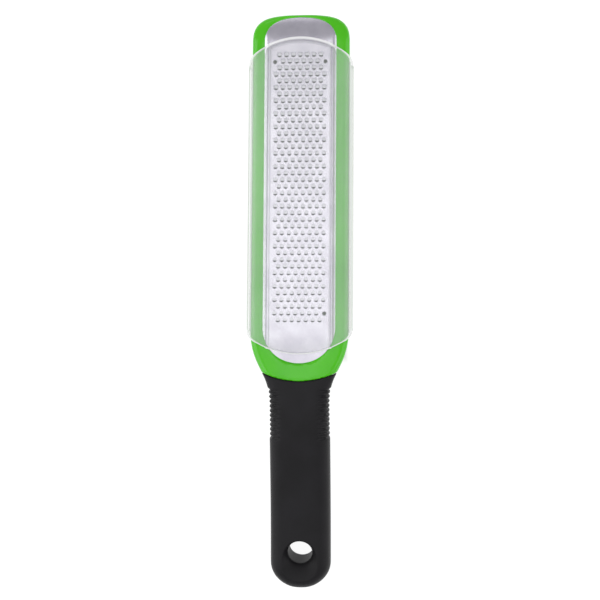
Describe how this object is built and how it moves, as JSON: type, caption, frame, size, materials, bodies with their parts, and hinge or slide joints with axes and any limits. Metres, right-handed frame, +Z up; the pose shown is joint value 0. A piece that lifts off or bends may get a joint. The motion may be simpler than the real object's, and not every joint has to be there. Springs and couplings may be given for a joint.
{
  "type": "rasp zester",
  "caption": "Hand zester with an etched rasp plate in a plastic frame, a soft arched grip with a hanging hole, and a lift-off storage cover.",
  "frame": {"origin": "middle of the footprint, on the surface that the tool rests on", "axes": "+Z up from the table, +Y from the grip to the tip, +X the right-hand side seen from above"},
  "size_m": [0.0568, 0.31, 0.0283],
  "materials": {
    "etched_steel": "satin, etched",
    "green_plastic": "gloss",
    "soft_grip": "soft matt",
    "foot_rubber": "matt",
    "frosted_plastic": "frosted, translucent"
  },
  "bodies": {
    "tool": {"rasp_plate": "etched_steel", "frame": "green_plastic", "grip": "soft_grip", "tip_foot": "foot_rubber"},
    "cover": {"storage_cover": "frosted_plastic"}
  },
  "joints": [
    {"name": "cover_lift", "type": "slide", "parent": "tool", "child": "cover", "axis": [0, 0.0732, 0.9973], "range_m": [0, 0.03]}
  ]
}
